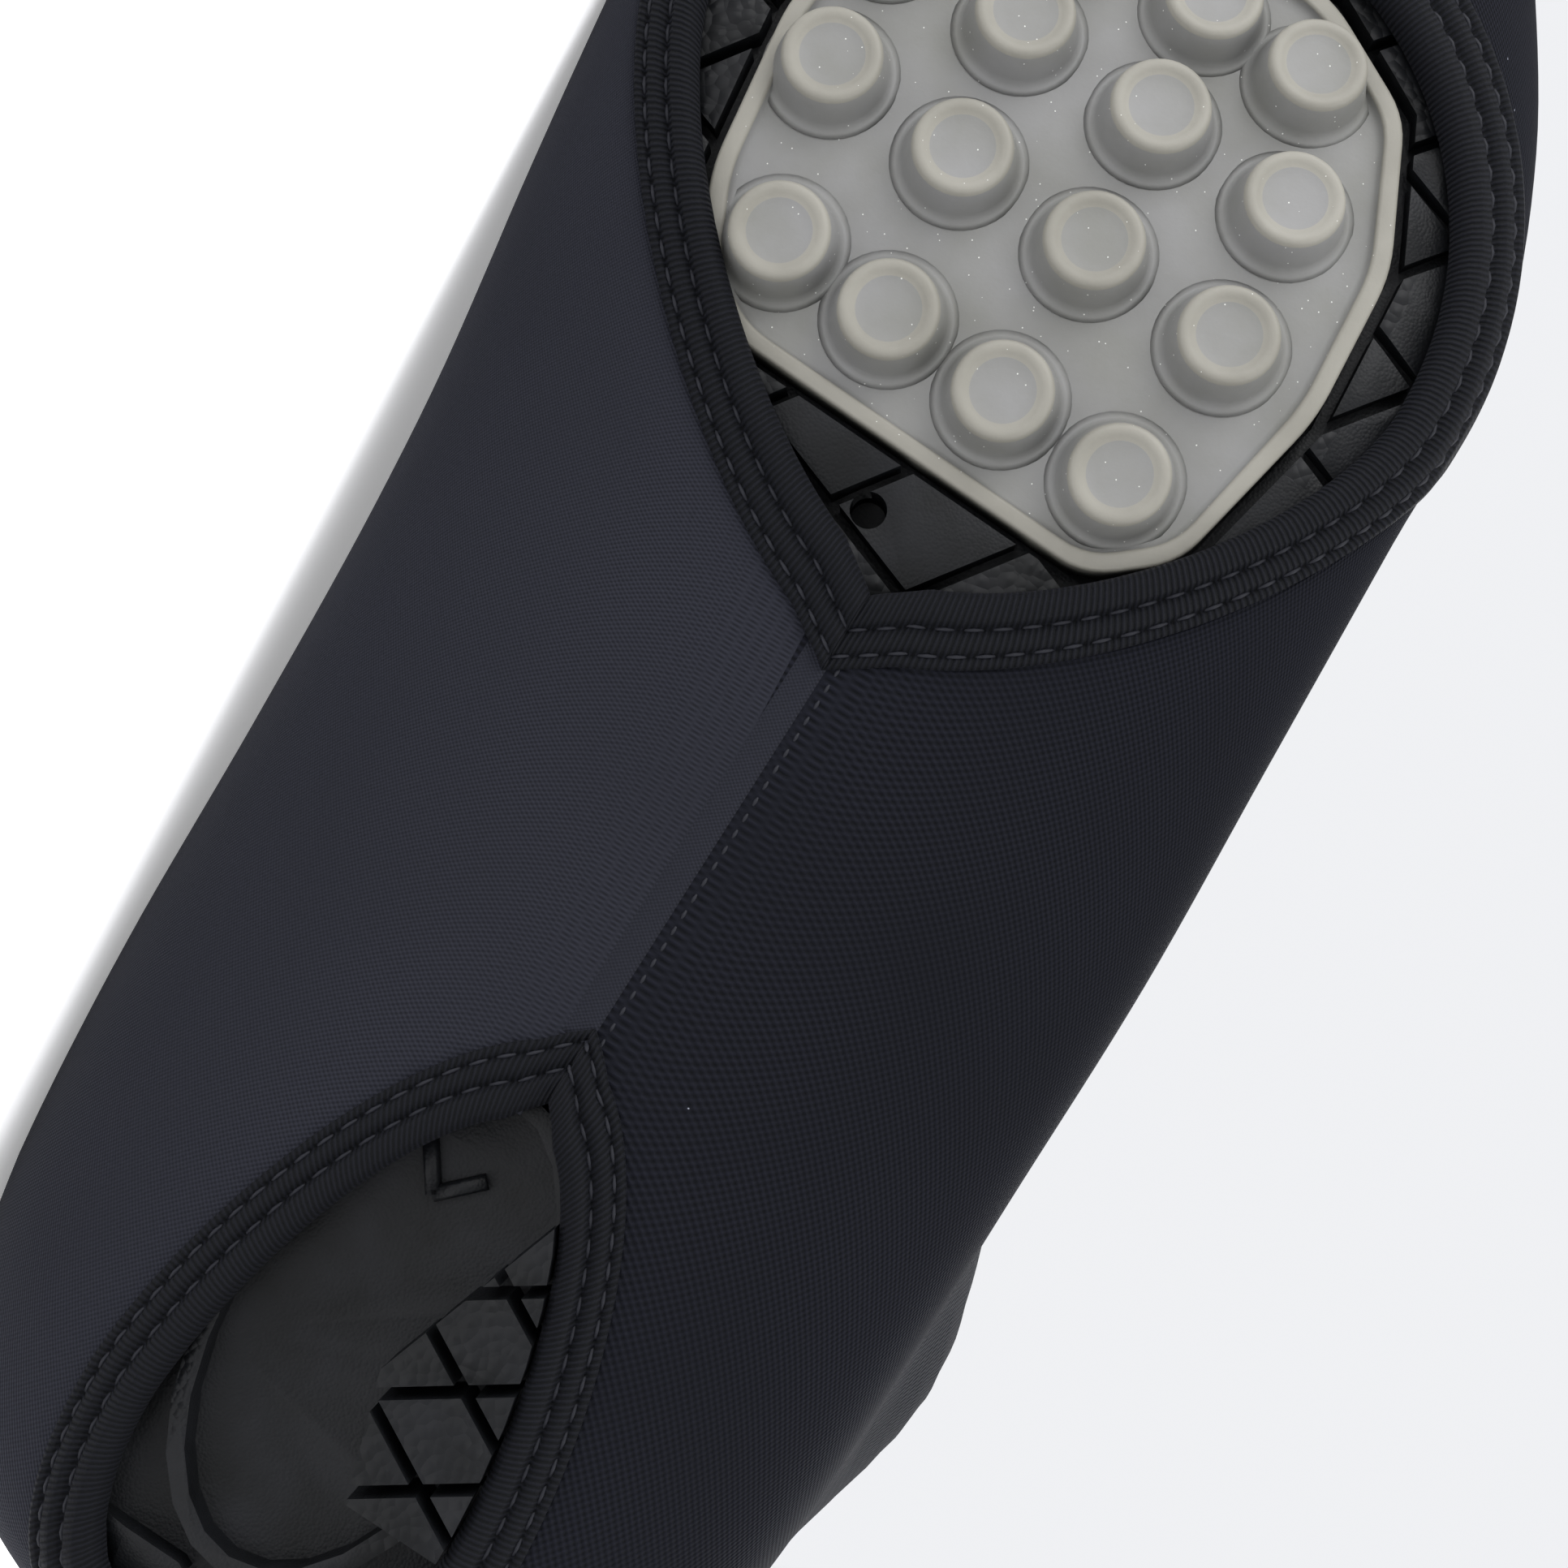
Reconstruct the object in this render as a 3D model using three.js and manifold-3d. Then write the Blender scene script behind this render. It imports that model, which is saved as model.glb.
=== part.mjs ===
import * as THREE from "three";
import Module from "manifold-3d";
import { mergeVertices } from "three/addons/utils/BufferGeometryUtils.js";

const wasm = await Module();
wasm.setup();

// A left cycling overshoe with the sole that shows through its two openings.
// Worn frame, in millimetres: x runs from heel to toe, y to the outer side, z up from the tread.
const LENGTH = 290;
const BALL_WIDTH = 106;
const COLLAR_HEIGHT = 168;

// Upper: one stretch fabric wall, with its underside held just clear of the ground.
const WALL = 1.6;
const FABRIC_LIFT = 1.6;
const SEAT_GAP = 0.3;
const CLOSURE_BULGE = 9;

// Folded ribbed tape round the openings and the collar.
const TAPE_THICKNESS = 1.1;
const TAPE_WIDTH = 6.3;
const TAPE_TIP_WIDTH = 8;
const TAPE_CLIMB = 9;
const COLLAR_TAPE_WIDTH = 14;

// Openings in the underside.
const FOREFOOT_OPENING_LENGTH = 84;
const FOREFOOT_OPENING_WIDTH = 84;
const HEEL_OPENING_LENGTH = 68;
const HEEL_OPENING_WIDTH = 35;

// Sole: toe spring as a slope behind a soft bend, block depth, arch and footbed heights.
const SPRING_SLOPE = 0.24;
const SPRING_BEND = 48;
const LUG_LEVEL = 3.5;
const GROOVE_LEVEL = 7.5;
const ARCH_RISE = 7;
const HEEL_THICKNESS = 24;
const BALL_THICKNESS = 15;
const INSOLE_THICKNESS = 4;
const GROOVE_WIDTH = 1.3;

// Grey grip pad with its rim and studs.
const PAD_WIDTH = 66;
const PAD_LENGTH = 66;
const PAD_THICKNESS = 4.5;
const RIM_WIDTH = 2;
const RIM_RISE = 1.1;
const STUD_TOP = 4.7;
const STUD_BASE = 6.2;
const STUD_DISH = 0.5;

const ROUND = 22;
const STUD_SIDES = 10;
const STEPS = 2;

// Sections of the worn form from the toe tip to the collar. topX and soleX are shares of LENGTH,
// topZ and lift are shares of COLLAR_HEIGHT, inner and outer are shares of BALL_WIDTH measured
// from the heel's centre line, widest is the level of the greatest width between sole and top,
// and flat and crown are the roundness of the lower and the upper half.
const SECTIONS = [
  { topX: 1.0, topZ: 0.218, soleX: 1.0, lift: 0.05, inner: 0.235, outer: -0.215, widest: 0.5, flat: 2.2, crown: 2 },
  { topX: 0.995, topZ: 0.254, soleX: 0.9965, lift: 0.045, inner: 0.3, outer: -0.16, widest: 0.46, flat: 2.4, crown: 2 },
  { topX: 0.979, topZ: 0.288, soleX: 0.9845, lift: 0.016, inner: 0.36, outer: -0.088, widest: 0.4, flat: 2.8, crown: 2 },
  { topX: 0.945, topZ: 0.32, soleX: 0.952, lift: 0.003, inner: 0.428, outer: 0.012, widest: 0.3, flat: 3.2, crown: 2.05 },
  { topX: 0.893, topZ: 0.35, soleX: 0.897, lift: 0, inner: 0.474, outer: 0.108, widest: 0.24, flat: 3.5, crown: 2.1 },
  { topX: 0.828, topZ: 0.384, soleX: 0.828, lift: 0, inner: 0.512, outer: 0.226, widest: 0.19, flat: 3.8, crown: 2.1 },
  { topX: 0.759, topZ: 0.42, soleX: 0.755, lift: 0, inner: 0.535, outer: 0.338, widest: 0.16, flat: 4, crown: 2.1 },
  { topX: 0.69, topZ: 0.464, soleX: 0.679, lift: 0, inner: 0.54, outer: 0.408, widest: 0.14, flat: 4, crown: 2.05 },
  { topX: 0.621, topZ: 0.515, soleX: 0.6, lift: 0, inner: 0.513, outer: 0.415, widest: 0.12, flat: 4, crown: 2 },
  { topX: 0.555, topZ: 0.577, soleX: 0.51, lift: 0, inner: 0.475, outer: 0.428, widest: 0.12, flat: 3.8, crown: 2 },
  { topX: 0.5, topZ: 0.649, soleX: 0.417, lift: 0, inner: 0.451, outer: 0.442, widest: 0.12, flat: 3.6, crown: 2.05 },
  { topX: 0.459, topZ: 0.726, soleX: 0.324, lift: 0, inner: 0.443, outer: 0.445, widest: 0.13, flat: 3.4, crown: 2.1 },
  { topX: 0.434, topZ: 0.798, soleX: 0.22, lift: 0, inner: 0.443, outer: 0.449, widest: 0.16, flat: 3.3, crown: 2.15 },
  { topX: 0.421, topZ: 0.857, soleX: 0.116, lift: 0, inner: 0.441, outer: 0.45, widest: 0.23, flat: 3.1, crown: 2.2 },
  { topX: 0.415, topZ: 0.896, soleX: 0.034, lift: 0.03, inner: 0.438, outer: 0.447, widest: 0.33, flat: 2.7, crown: 2.2 },
  { topX: 0.412, topZ: 0.923, soleX: 0.004, lift: 0.17, inner: 0.433, outer: 0.445, widest: 0.44, flat: 2.4, crown: 2.2 },
  { topX: 0.41, topZ: 0.944, soleX: 0.016, lift: 0.36, inner: 0.415, outer: 0.43, widest: 0.46, flat: 2.3, crown: 2.2 },
  { topX: 0.408, topZ: 0.963, soleX: 0.05, lift: 0.56, inner: 0.392, outer: 0.405, widest: 0.48, flat: 2.2, crown: 2.2 },
  { topX: 0.407, topZ: 0.982, soleX: 0.07, lift: 0.77, inner: 0.374, outer: 0.384, widest: 0.5, flat: 2.2, crown: 2.2 },
  { topX: 0.406, topZ: 1.0, soleX: 0.074, lift: 0.975, inner: 0.368, outer: 0.377, widest: 0.5, flat: 2.2, crown: 2.2 },
];

// Outline of the sole from heel to toe, as shares of LENGTH and BALL_WIDTH.
const SOLE_OUTLINE = [
  { x: 0.014, inner: 0.06, outer: 0.06 },
  { x: 0.024, inner: 0.16, outer: 0.16 },
  { x: 0.05, inner: 0.25, outer: 0.25 },
  { x: 0.1, inner: 0.315, outer: 0.315 },
  { x: 0.16, inner: 0.333, outer: 0.338 },
  { x: 0.25, inner: 0.314, outer: 0.327 },
  { x: 0.345, inner: 0.285, outer: 0.322 },
  { x: 0.43, inner: 0.315, outer: 0.35 },
  { x: 0.52, inner: 0.4, outer: 0.387 },
  { x: 0.603, inner: 0.475, outer: 0.4 },
  { x: 0.7, inner: 0.532, outer: 0.382 },
  { x: 0.776, inner: 0.528, outer: 0.288 },
  { x: 0.845, inner: 0.49, outer: 0.175 },
  { x: 0.905, inner: 0.434, outer: 0.06 },
  { x: 0.948, inner: 0.37, outer: -0.055 },
  { x: 0.972, inner: 0.3, outer: -0.14 },
  { x: 0.983, inner: 0.24, outer: -0.2 },
];

// Side of the sole from its lower edge to its upper one: level is a share of the side's height,
// inset is millimetres in from the outline, with a foxing step, a groove and two ribs.
const SOLE_SIDE = [
  { level: 0, inset: 3.2 },
  { level: 0.16, inset: 1.4 },
  { level: 0.38, inset: 0.6 },
  { level: 0.46, inset: 1.8 },
  { level: 0.56, inset: 1.8 },
  { level: 0.62, inset: 0.8 },
  { level: 0.76, inset: 0.8 },
  { level: 0.8, inset: 1.8 },
  { level: 1, inset: 2.4 },
];

// Rows of studs from the heel side to the toe side of the pad: along and from are shares of
// PAD_LENGTH and PAD_WIDTH, pitch is a share of PAD_WIDTH.
const STUD_ROWS = [
  { along: 0.135, from: -0.379, pitch: 0.21, count: 4 },
  { along: 0.4, from: -0.459, pitch: 0.2465, count: 4 },
  { along: 0.633, from: -0.5, pitch: 0.2515, count: 4 },
  { along: 0.835, from: -0.25, pitch: 0.21, count: 3 },
];

const add = (a, b, share) => a + (b - a) * share;
const smooth = (from, to, value) => THREE.MathUtils.smoothstep(value, from, to);

// Catmull-Rom value of one column at a running row number.
function column(rows, name, at) {
  const last = rows.length - 1;
  const row = Math.min(Math.floor(at), last - 1);
  const pick = (k) => rows[THREE.MathUtils.clamp(k, 0, last)][name];
  const t = at - row;
  const [a, b, c, d] = [pick(row - 1), pick(row), pick(row + 1), pick(row + 2)];
  return b + 0.5 * t * (c - a + t * (2 * a - 5 * b + 4 * c - d + t * (3 * (b - c) + d - a)));
}

// Height of the tread line: flat under heel and ball, then a soft bend into the toe spring.
function tread(x) {
  const past = Math.max(x - 0.55 * LENGTH, 0);
  const bent = Math.min(past, SPRING_BEND);
  return SPRING_SLOPE * (bent ** 2 / (2 * SPRING_BEND) + past - bent);
}

// Outward lump on the outer side, where the closure of the shoe inside pushes the fabric out.
function bulge(x, z) {
  const along = (x - 0.24 * LENGTH) / (0.085 * LENGTH);
  const up = (z - 0.33 * COLLAR_HEIGHT) / (0.11 * COLLAR_HEIGHT);
  return CLOSURE_BULGE * Math.exp(-(along * along) - up * up);
}

// Centre-plane points and widths of one section, before any offset.
function section(at) {
  const value = (name) => column(SECTIONS, name, at);
  const soleX = value("soleX") * LENGTH;
  return {
    top: new THREE.Vector2(value("topX") * LENGTH, value("topZ") * COLLAR_HEIGHT),
    sole: new THREE.Vector2(soleX, tread(soleX) + FABRIC_LIFT + Math.max(value("lift"), 0) * COLLAR_HEIGHT),
    inner: value("inner") * BALL_WIDTH,
    outer: value("outer") * BALL_WIDTH,
    widest: value("widest"),
    flat: value("flat"),
    crown: value("crown"),
  };
}

// A step sideways out of the form from one of its two centre lines.
function outward(line, at, away) {
  const last = SECTIONS.length - 1;
  const ahead = section(Math.min(at + 0.1, last))[line];
  const behind = section(Math.max(at - 0.1, 0))[line];
  const normal = new THREE.Vector2(behind.y - ahead.y, ahead.x - behind.x).normalize();
  return normal.multiplyScalar(line === "top" ? -away : away);
}

// One closed ring of the worn form, moved out by an offset.
function ring(at, away) {
  const s = section(at);
  const top = s.top.clone().add(outward("top", at, away));
  const sole = s.sole.clone().add(outward("sole", at, away));
  const middle = (s.outer - s.inner) / 2;
  const half = (s.outer + s.inner) / 2 + away;
  const points = [];
  for (let k = 0; k < ROUND; k++) {
    const turn = (2 * Math.PI * k) / ROUND;
    const side = Math.cos(turn);
    const rise = Math.sin(turn);
    const power = 2 / (rise < 0 ? s.flat : s.crown);
    const reach = rise < 0 ? s.widest : 1 - s.widest;
    const level = s.widest + Math.sign(rise) * reach * Math.abs(rise) ** power;
    const x = add(sole.x, top.x, level);
    const z = add(sole.y, top.y, level);
    const swell = Math.max(side, 0) * bulge(x, z);
    points.push([x, middle + Math.sign(side) * half * Math.abs(side) ** power + swell, z]);
  }
  return points;
}

function solidFrom(points, faces) {
  const vertProperties = new Float32Array(points.flat());
  return new wasm.Manifold(new wasm.Mesh({ numProp: 3, vertProperties, triVerts: new Uint32Array(faces) }));
}

function centre(points) {
  const sum = points.reduce((a, p) => [a[0] + p[0], a[1] + p[1], a[2] + p[2]], [0, 0, 0]);
  return sum.map((value) => value / points.length);
}

// A closed solid through rings of equal count. Its ends are closed, or joined to each other.
function loft(rings, joined = false) {
  const size = rings[0].length;
  const points = rings.flat();
  const faces = [];
  const rows = joined ? rings.length : rings.length - 1;
  for (let row = 0; row < rows; row++)
    for (let k = 0; k < size; k++) {
      const a = row * size + k;
      const b = row * size + ((k + 1) % size);
      const c = ((row + 1) % rings.length) * size + ((k + 1) % size);
      const d = ((row + 1) % rings.length) * size + k;
      faces.push(a, b, c, a, c, d);
    }
  if (!joined)
    for (const row of [0, rings.length - 1]) {
      const hub = points.push(centre(rings[row])) - 1;
      for (let k = 0; k < size; k++) {
        const edge = [row * size + k, row * size + ((k + 1) % size)];
        faces.push(hub, ...(row ? edge : edge.reverse()));
      }
    }
  return solidFrom(points, faces);
}

// The whole worn form, from the toe tip to a share past the collar.
function form(away, past = 0) {
  const last = SECTIONS.length - 1;
  const rings = [];
  for (let step = 0; step <= last * STEPS; step++) rings.push(ring(step / STEPS, away));
  if (past) {
    const [a, b] = rings.slice(-2);
    rings.push(b.map((p, k) => p.map((value, axis) => value + (value - a[k][axis]) * past)));
  }
  return loft(rings.reverse());
}

// An upright prism over an outline in x and y.
function prism(outline, low, high) {
  const shape = new THREE.Shape(outline.map(([x, y]) => new THREE.Vector2(x, y)));
  const geometry = new THREE.ExtrudeGeometry(shape, { depth: high - low, bevelEnabled: false });
  geometry.translate(0, 0, low);
  return solidOf(geometry);
}

function solidOf(geometry) {
  geometry.deleteAttribute("normal");
  geometry.deleteAttribute("uv");
  const merged = mergeVertices(geometry, 1e-4);
  const { array } = merged.getAttribute("position");
  const triVerts = new Uint32Array(merged.index.array);
  return new wasm.Manifold(new wasm.Mesh({ numProp: 3, vertProperties: new Float32Array(array), triVerts }));
}

// A drop-shaped outline that comes to a point at its tip and is round at its other end.
function drop({ tip, middle, length, width, point, round, direction }, endGrow = 0, sideGrow = 0) {
  const outline = [];
  const count = 40;
  const behind = Math.abs(middle[0] - tip[0]);
  for (let k = 0; k < count; k++) {
    const turn = (2 * Math.PI * k) / count;
    const along = Math.cos(turn);
    const power = 2 / (along < 0 ? point : round);
    const reach = (along < 0 ? behind : length - behind) + endGrow;
    const far = Math.sign(along) * reach * Math.abs(along) ** power;
    const lean = along < 0 ? Math.abs(along) ** power * (tip[1] - middle[1]) : 0;
    const half = Math.sign(Math.sin(turn)) * (width / 2 + sideGrow) * Math.abs(Math.sin(turn)) ** power;
    outline.push([middle[0] + direction * far, middle[1] + lean + direction * half]);
  }
  return outline;
}

const FOREFOOT_DROP = {
  tip: [0.493 * LENGTH, 0.02 * BALL_WIDTH],
  middle: [0.493 * LENGTH + 0.512 * FOREFOOT_OPENING_LENGTH, -0.038 * BALL_WIDTH],
  length: FOREFOOT_OPENING_LENGTH,
  width: FOREFOOT_OPENING_WIDTH,
  point: 1.45,
  round: 2,
  direction: 1,
};

const HEEL_DROP = {
  tip: [0.276 * LENGTH, 0.019 * BALL_WIDTH],
  middle: [0.276 * LENGTH - 0.655 * HEEL_OPENING_LENGTH, 0.005 * BALL_WIDTH],
  length: HEEL_OPENING_LENGTH,
  width: HEEL_OPENING_WIDTH,
  point: 1.7,
  round: 2.4,
  direction: -1,
};

const LOW = -10;
const HIGH = 60;

// Upper: the form less its own inner face, open at the collar and at both openings.
function upper() {
  const cut = layer(() => LOW, above(2 * TAPE_CLIMB));
  const openings = prism(drop(FOREFOOT_DROP), LOW, HIGH).add(prism(drop(HEEL_DROP), LOW, HIGH));
  return form(0).subtract(form(-WALL, 1)).subtract(openings.intersect(cut));
}

// Tape round one opening, laid on the outside of the upper.
function openingTape(outline) {
  const band = prism(drop(outline, TAPE_TIP_WIDTH, TAPE_WIDTH), LOW, HIGH);
  const ring = band.subtract(prism(drop(outline), LOW, HIGH));
  const sleeve = form(SEAT_GAP + TAPE_THICKNESS).subtract(form(SEAT_GAP, 1));
  return sleeve.intersect(layer(() => LOW, above(TAPE_CLIMB))).intersect(ring);
}

// Tape round the collar, laid on the outside of the upper's top edge.
function collarTape() {
  const last = SECTIONS.length - 1;
  const rise = section(last).sole.distanceTo(section(last - 1).sole);
  const rows = COLLAR_TAPE_WIDTH / rise;
  const places = [last - rows, last - rows / 2, last];
  const outside = places.map((at) => ring(at, SEAT_GAP + TAPE_THICKNESS));
  const inside = places.map((at) => ring(at, SEAT_GAP));
  return loft([...inside, ...outside.reverse()], true);
}

const footbed = (x) => tread(x) + add(HEEL_THICKNESS, BALL_THICKNESS, smooth(0.28 * LENGTH, 0.6 * LENGTH, x));

function waist(x) {
  const share = smooth(0.26 * LENGTH, 0.36 * LENGTH, x) * (1 - smooth(0.42 * LENGTH, 0.54 * LENGTH, x));
  return ARCH_RISE * share;
}

// A sheet of the sole between two heights above the tread line, wider than the shoe.
function layer(low, high, from = 0, to = 1) {
  const rings = [];
  const count = Math.ceil(26 * (to - from));
  for (let k = 0; k <= count; k++) {
    const x = add(from, to, k / count) * LENGTH;
    const [a, b] = [low(x), high(x)];
    rings.push([[x, -BALL_WIDTH, a], [x, BALL_WIDTH, a], [x, BALL_WIDTH, b], [x, -BALL_WIDTH, b]]);
  }
  return loft(rings);
}

const above = (rise) => (x) => tread(x) + rise;
const blockRoot = (x) => tread(x) + GROOVE_LEVEL + waist(x) + 1;

// Outline of the sole in plan, drawn in by an inset.
function soleOutline(inset) {
  const rows = SOLE_OUTLINE.map(({ x, inner, outer }) => {
    const end = inset * Math.sign(x - 0.5) * smooth(0.35, 0.5, Math.abs(x - 0.5));
    return [x * LENGTH - end, inner * BALL_WIDTH - inset, outer * BALL_WIDTH - inset];
  }).filter(([, inner, outer]) => inner + outer > 1);
  return [...rows.map(([x, inner]) => [x, -inner]), ...rows.reverse().map(([x, , outer]) => [x, outer])];
}

// Straight grooves across a patch of tread, side by side at one pitch and angle.
function grooves({ from, to, middle, pitch, angle, reach }) {
  const cuts = [];
  for (let x = from; x <= to; x += pitch) {
    const cut = new THREE.BoxGeometry(GROOVE_WIDTH, reach, HIGH);
    cut.rotateZ(angle);
    cut.translate(x, middle, 0);
    cuts.push(solidOf(cut));
  }
  return cuts.reduce((a, b) => a.add(b));
}

// Body of the sole: its outline, arch, toe spring and stepped side.
function soleBody() {
  const rings = [];
  for (const row of SOLE_OUTLINE) {
    const x = row.x * LENGTH;
    const inner = row.inner * BALL_WIDTH;
    const outer = row.outer * BALL_WIDTH;
    const low = tread(x) + GROOVE_LEVEL + waist(x);
    const side = SOLE_SIDE.map(({ inset, level }) => [inset, add(low, footbed(x), level)]);
    rings.push([
      ...side.map(([inset, z]) => [x, outer - inset, z]),
      ...side.reverse().map(([inset, z]) => [x, inset - inner, z]),
    ]);
  }
  return loft(rings);
}

const PAD_START = 0.54 * LENGTH;

// Outline of the grip pad: straight at the heel side, bowed at the sides, cut at its corners.
function padOutline(grow = 0) {
  const corners = [
    { along: 0, across: -0.37 },
    { along: -0.03, across: 0.29 },
    { along: 0.06, across: 0.4 },
    { along: 0.36, across: 0.46 },
    { along: 0.62, across: 0.44 },
    { along: 0.86, across: 0.33 },
    { along: 0.97, across: 0.14 },
    { along: 1, across: -0.12 },
    { along: 0.95, across: -0.36 },
    { along: 0.78, across: -0.53 },
    { along: 0.5, across: -0.575 },
    { along: 0.2, across: -0.53 },
    { along: 0.06, across: -0.46 },
  ];
  const middle = [PAD_START + 0.48 * PAD_LENGTH, 0];
  return corners.map(({ along, across }) => {
    const x = PAD_START + along * PAD_LENGTH - middle[0];
    const y = across * PAD_WIDTH - middle[1];
    const stretch = 1 + grow / Math.hypot(x, y);
    return [middle[0] + x * stretch, middle[1] + y * stretch];
  });
}

// Studs: a tapered round with a shallow dish in its end.
function stud(x, y) {
  const height = LUG_LEVEL + RIM_RISE;
  const profile = [
    [0, 0.5],
    [STUD_BASE, 0.5],
    [STUD_BASE, 0],
    [STUD_TOP, -height],
    [STUD_TOP - 1, -height],
    [STUD_TOP - 1.8, STUD_DISH - height],
    [0, STUD_DISH - height],
  ].map(([radius, level]) => new THREE.Vector2(radius, level));
  const geometry = new THREE.LatheGeometry(profile.reverse(), STUD_SIDES);
  geometry.rotateX(Math.PI / 2);
  geometry.rotateY(-Math.atan((tread(x + 1) - tread(x - 1)) / 2));
  geometry.translate(x, y, tread(x) + height);
  return solidOf(geometry);
}

function gripPad() {
  const floor = LUG_LEVEL + RIM_RISE;
  const outline = prism(padOutline(), LOW, HIGH);
  const inside = prism(padOutline(-RIM_WIDTH), LOW, HIGH);
  let pad = layer(above(floor), above(floor + PAD_THICKNESS)).intersect(outline);
  pad = pad.add(layer(above(LUG_LEVEL), above(floor + 0.5)).intersect(outline.subtract(inside)));
  for (const { along, from, pitch, count } of STUD_ROWS)
    for (let k = 0; k < count; k++) {
      const x = PAD_START + along * PAD_LENGTH;
      pad = pad.add(stud(x, (from + k * pitch) * PAD_WIDTH));
    }
  const clear = prism(drop(FOREFOOT_DROP, -SEAT_GAP, -SEAT_GAP), LOW, HIGH);
  return pad.intersect(outline).intersect(form(-WALL - SEAT_GAP).add(clear));
}

// Tread blocks round the grip pad, cut by two sets of slanting grooves.
function forefootBlocks() {
  const patch = prism(soleOutline(3), LOW, HIGH).subtract(prism(padOutline(1.5), LOW, HIGH));
  const reach = 2 * BALL_WIDTH;
  const from = 0.4 * LENGTH;
  const blocks = layer(above(LUG_LEVEL), blockRoot, 0.485, 0.95).intersect(patch);
  return blocks
    .subtract(grooves({ from, to: 1.1 * LENGTH, middle: 0, pitch: 0.05 * LENGTH, angle: 0.35, reach }))
    .subtract(grooves({ from, to: 1.2 * LENGTH, middle: 0, pitch: 0.07 * LENGTH, angle: -0.95, reach }));
}

// Heel tread: a smooth oval inside a ridge, a strip on the inner side and blocks on the outer side.
// The blocks inside the opening have feet that stand down to the ground.
function heelBlocks() {
  const oval = (grow) => {
    const curve = new THREE.EllipseCurve(0.18 * LENGTH, -0.01 * BALL_WIDTH, 27 + grow, 14.5 + grow);
    return prism(curve.getPoints(26).slice(0, -1).map(({ x, y }) => [x, y]), LOW, HIGH);
  };
  const inside = prism(soleOutline(3), LOW, HIGH);
  const patch = prism([[0.13, 0.06], [0.175, 0.02], [0.25, 0.09], [0.25, 0.3], [0.13, 0.3]]
    .map(([x, y]) => [x * LENGTH, y * BALL_WIDTH]), LOW, HIGH);
  const strip = prism([[0.03, -0.14], [0.2, -0.19], [0.25, -0.3], [0.03, -0.3]]
    .map(([x, y]) => [x * LENGTH, y * BALL_WIDTH]), LOW, HIGH);
  const rear = prism([[0, -0.3], [0.075, -0.3], [0.075, 0.3], [0, 0.3]]
    .map(([x, y]) => [x * LENGTH, y * BALL_WIDTH]), LOW, HIGH);
  const reach = BALL_WIDTH;
  const cuts = grooves({ from: 0, to: 0.4 * LENGTH, middle: 0, pitch: 0.034 * LENGTH, angle: 0.5, reach })
    .add(grooves({ from: 0, to: 0.4 * LENGTH, middle: 0, pitch: 0.04 * LENGTH, angle: -0.6, reach }));
  const level = layer(above(LUG_LEVEL), blockRoot, 0, 0.3);
  const blocks = level.intersect(patch.add(rear.subtract(oval(0)))).subtract(cuts);
  const ridge = level.intersect(oval(2).subtract(oval(0)).subtract(patch));
  const clear = prism(drop(HEEL_DROP, -1, -1), LOW, HIGH).intersect(patch);
  const feet = layer(above(0), blockRoot, 0, 0.3).intersect(clear).subtract(cuts);
  const strips = level.intersect(strip.subtract(oval(2.5)));
  return { blocks: blocks.add(ridge).add(strips).intersect(inside), feet };
}

// Sole: body and blocks, with a pocket that the grip pad sits in, inside the upper's wall.
function outsole() {
  const pocketFloor = LUG_LEVEL + RIM_RISE + PAD_THICKNESS + SEAT_GAP;
  const pocket = prism(padOutline(SEAT_GAP), LOW, HIGH).intersect(layer(above(LOW), above(pocketFloor)));
  const { blocks, feet } = heelBlocks();
  const whole = soleBody().add(forefootBlocks()).add(blocks).subtract(pocket);
  const inside = form(-WALL - SEAT_GAP).intersect(layer(() => LOW, footbed));
  return whole.intersect(inside).add(feet);
}

// Insole: lies on the footbed inside the upper.
function insole() {
  const low = (x) => footbed(x) + SEAT_GAP;
  const high = (x) => footbed(x) + SEAT_GAP + INSOLE_THICKNESS;
  return layer(low, high).intersect(prism(soleOutline(4), LOW, HIGH)).intersect(form(-WALL - 1));
}

// Colours and finishes.
const fabric = new THREE.MeshStandardMaterial({ color: 0x262a36, roughness: 0.8, metalness: 0 });
const tape = new THREE.MeshStandardMaterial({ color: 0x191b22, roughness: 0.75, metalness: 0 });
const blackRubber = new THREE.MeshStandardMaterial({ color: 0x1a1b1f, roughness: 0.6, metalness: 0 });
const greyRubber = new THREE.MeshStandardMaterial({ color: 0xa9a9a6, roughness: 0.55, metalness: 0 });
const blackFoam = new THREE.MeshStandardMaterial({ color: 0x202226, roughness: 0.9, metalness: 0 });

function mesh(name, solid, material) {
  const { vertProperties, triVerts } = solid.getMesh();
  const geometry = new THREE.BufferGeometry();
  geometry.setAttribute("position", new THREE.BufferAttribute(vertProperties, 3));
  geometry.setIndex(new THREE.BufferAttribute(triVerts, 1));
  geometry.computeVertexNormals();
  const made = new THREE.Mesh(geometry, material);
  made.name = name;
  return made;
}

// The plane that the shoe lies on, inner side down: it touches the ball, the heel and the ankle.
function restPlane(points) {
  const plane = new THREE.Plane(new THREE.Vector3(0, 1, 0), 0);
  const rear = 0.45 * LENGTH;
  const low = 0.22 * COLLAR_HEIGHT;
  const places = [(p) => p.x > rear, (p) => p.x <= rear && p.z < low, (p) => p.x <= rear && p.z >= low];
  const lower = (a, b) => (plane.distanceToPoint(a) < plane.distanceToPoint(b) ? a : b);
  for (let round = 0; round < 8; round++) {
    plane.setFromCoplanarPoints(...places.map((place) => points.filter(place).reduce(lower)));
    if (plane.normal.y < 0) plane.negate();
  }
  return plane;
}

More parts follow.
